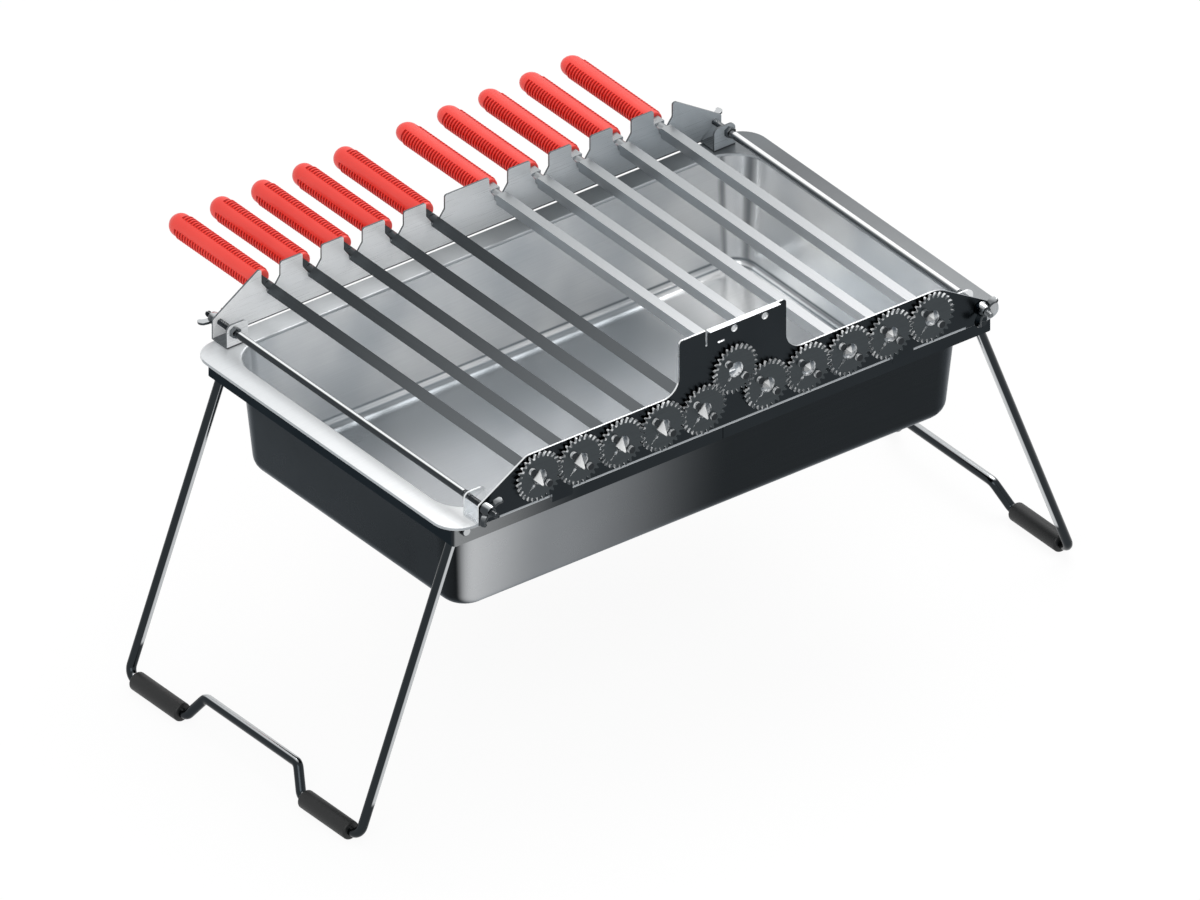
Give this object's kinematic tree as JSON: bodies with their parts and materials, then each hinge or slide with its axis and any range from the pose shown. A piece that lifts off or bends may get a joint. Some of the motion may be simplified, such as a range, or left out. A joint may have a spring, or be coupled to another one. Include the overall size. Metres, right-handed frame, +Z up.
{
  "type": "kebab grill",
  "caption": "Tabletop charcoal grill: deep steel pan in a folding wire-leg frame, with a rack of V-section skewers turned together by a gear train.",
  "frame": {"origin": "on the floor, at the middle of the whole object's length and width", "axes": "+X along the pan, -Y towards the gear side, +Y towards the skewer handles, +Z up"},
  "size_m": [0.6892, 0.4693, 0.3512],
  "materials": {
    "pan_steel": "deep-drawn stainless sheet, satin inside",
    "frame_steel": "stainless sheet band",
    "plate_steel": "laser-cut stainless sheet",
    "rod_steel": "bright turned rod",
    "nut_steel": "bright zinc-like steel",
    "wire_steel": "polished bent rod",
    "foot_rubber": "black rubber sleeve",
    "gear_steel": "stamped steel, dark face and bright tooth flanks",
    "hub_steel": "turned steel bush",
    "blade_steel": "folded stainless strip",
    "handle_red": "ribbed red plastic"
  },
  "bodies": {
    "leg_frame": {"frame_band": "frame_steel"},
    "pan": {"pan": "pan_steel"},
    "rack": {"front_gear_plate": "plate_steel", "rear_comb_plate": "plate_steel", "tie_rod_left": "rod_steel", "tie_rod_right": "rod_steel", "hex_nuts": "nut_steel"},
    "leg_left": {"wire_leg_left": "wire_steel", "foot_sleeve_front_left": "foot_rubber", "foot_sleeve_rear_left": "foot_rubber"},
    "leg_right": {"wire_leg_right": "wire_steel", "foot_sleeve_front_right": "foot_rubber", "foot_sleeve_rear_right": "foot_rubber"},
    "skewer_1": {"gear_1": "gear_steel", "hub_1": "hub_steel", "skewer_blade_1": "blade_steel", "skewer_handle_1": "handle_red"},
    "skewer_2": {"gear_2": "gear_steel", "hub_2": "hub_steel", "skewer_blade_2": "blade_steel", "skewer_handle_2": "handle_red"},
    "skewer_3": {"gear_3": "gear_steel", "hub_3": "hub_steel", "skewer_blade_3": "blade_steel", "skewer_handle_3": "handle_red"},
    "skewer_4": {"gear_4": "gear_steel", "hub_4": "hub_steel", "skewer_blade_4": "blade_steel", "skewer_handle_4": "handle_red"},
    "skewer_5": {"gear_5": "gear_steel", "hub_5": "hub_steel", "skewer_blade_5": "blade_steel", "skewer_handle_5": "handle_red"},
    "drive_gear": {"gear_6": "gear_steel", "hub_6": "hub_steel"},
    "skewer_7": {"gear_7": "gear_steel", "hub_7": "hub_steel", "skewer_blade_7": "blade_steel", "skewer_handle_7": "handle_red"},
    "skewer_8": {"gear_8": "gear_steel", "hub_8": "hub_steel", "skewer_blade_8": "blade_steel", "skewer_handle_8": "handle_red"},
    "skewer_9": {"gear_9": "gear_steel", "hub_9": "hub_steel", "skewer_blade_9": "blade_steel", "skewer_handle_9": "handle_red"},
    "skewer_10": {"gear_10": "gear_steel", "hub_10": "hub_steel", "skewer_blade_10": "blade_steel", "skewer_handle_10": "handle_red"},
    "skewer_11": {"gear_11": "gear_steel", "hub_11": "hub_steel", "skewer_blade_11": "blade_steel", "skewer_handle_11": "handle_red"},
    "wing_nut_front_left": {"wing_nut_front_left": "nut_steel"},
    "wing_nut_rear_left": {"wing_nut_rear_left": "nut_steel"},
    "wing_nut_front_right": {"wing_nut_front_right": "nut_steel"},
    "wing_nut_rear_right": {"wing_nut_rear_right": "nut_steel"}
  },
  "joints": [
    {"name": "pan_lift", "type": "slide", "parent": "leg_frame", "child": "pan", "axis": [0, 0, 1], "range_m": [0, 0.12]},
    {"name": "rack_lift", "type": "slide", "parent": "pan", "child": "rack", "axis": [0, 0, 1], "range_m": [0, 0.08]},
    {"name": "leg_fold_left", "type": "hinge", "parent": "leg_frame", "child": "leg_left", "pos_m": [-0.2449, -0.05295, 0.25096], "axis": [0, -1, 0], "range_deg": [0, 54]},
    {"name": "leg_fold_right", "type": "hinge", "parent": "leg_frame", "child": "leg_right", "pos_m": [0.2449, -0.05295, 0.25096], "axis": [0, 1, 0], "range_deg": [0, 54]},
    {"name": "skewer_spin_1", "type": "hinge", "parent": "rack", "child": "skewer_1", "pos_m": [-0.18593, -0.05295, 0.28447], "axis": [0, 1, 0], "continuous": true},
    {"name": "skewer_spin_2", "type": "hinge", "parent": "rack", "child": "skewer_2", "pos_m": [-0.14693, -0.05295, 0.28447], "axis": [0, 1, 0], "continuous": true},
    {"name": "skewer_spin_3", "type": "hinge", "parent": "rack", "child": "skewer_3", "pos_m": [-0.10793, -0.05295, 0.28447], "axis": [0, 1, 0], "continuous": true},
    {"name": "skewer_spin_4", "type": "hinge", "parent": "rack", "child": "skewer_4", "pos_m": [-0.06893, -0.05295, 0.28447], "axis": [0, 1, 0], "continuous": true},
    {"name": "skewer_spin_5", "type": "hinge", "parent": "rack", "child": "skewer_5", "pos_m": [-0.02993, -0.05295, 0.28447], "axis": [0, 1, 0], "continuous": true},
    {"name": "drive_spin", "type": "hinge", "parent": "rack", "child": "drive_gear", "pos_m": [0, -0.05295, 0.30946], "axis": [0, 1, 0], "continuous": true},
    {"name": "skewer_spin_7", "type": "hinge", "parent": "rack", "child": "skewer_7", "pos_m": [0.02993, -0.05295, 0.28447], "axis": [0, 1, 0], "continuous": true},
    {"name": "skewer_spin_8", "type": "hinge", "parent": "rack", "child": "skewer_8", "pos_m": [0.06893, -0.05295, 0.28447], "axis": [0, 1, 0], "continuous": true},
    {"name": "skewer_spin_9", "type": "hinge", "parent": "rack", "child": "skewer_9", "pos_m": [0.10793, -0.05295, 0.28447], "axis": [0, 1, 0], "continuous": true},
    {"name": "skewer_spin_10", "type": "hinge", "parent": "rack", "child": "skewer_10", "pos_m": [0.14693, -0.05295, 0.28447], "axis": [0, 1, 0], "continuous": true},
    {"name": "skewer_spin_11", "type": "hinge", "parent": "rack", "child": "skewer_11", "pos_m": [0.18593, -0.05295, 0.28447], "axis": [0, 1, 0], "continuous": true},
    {"name": "wing_turn_front_left", "type": "hinge", "parent": "rack", "child": "wing_nut_front_left", "pos_m": [-0.2345, -0.22345, 0.27316], "axis": [0, -1, 0], "continuous": true},
    {"name": "wing_turn_rear_left", "type": "hinge", "parent": "rack", "child": "wing_nut_rear_left", "pos_m": [-0.2345, 0.11755, 0.27316], "axis": [0, 1, 0], "continuous": true},
    {"name": "wing_turn_front_right", "type": "hinge", "parent": "rack", "child": "wing_nut_front_right", "pos_m": [0.2345, -0.22345, 0.27316], "axis": [0, -1, 0], "continuous": true},
    {"name": "wing_turn_rear_right", "type": "hinge", "parent": "rack", "child": "wing_nut_rear_right", "pos_m": [0.2345, 0.11755, 0.27316], "axis": [0, 1, 0], "continuous": true}
  ],
  "couplings": [
    {"joint": "skewer_spin_1", "follows": "drive_spin", "ratio": -1},
    {"joint": "skewer_spin_2", "follows": "drive_spin", "ratio": 1},
    {"joint": "skewer_spin_3", "follows": "drive_spin", "ratio": -1},
    {"joint": "skewer_spin_4", "follows": "drive_spin", "ratio": 1},
    {"joint": "skewer_spin_5", "follows": "drive_spin", "ratio": -1},
    {"joint": "skewer_spin_7", "follows": "drive_spin", "ratio": -1},
    {"joint": "skewer_spin_8", "follows": "drive_spin", "ratio": 1},
    {"joint": "skewer_spin_9", "follows": "drive_spin", "ratio": -1},
    {"joint": "skewer_spin_10", "follows": "drive_spin", "ratio": 1},
    {"joint": "skewer_spin_11", "follows": "drive_spin", "ratio": -1}
  ]
}
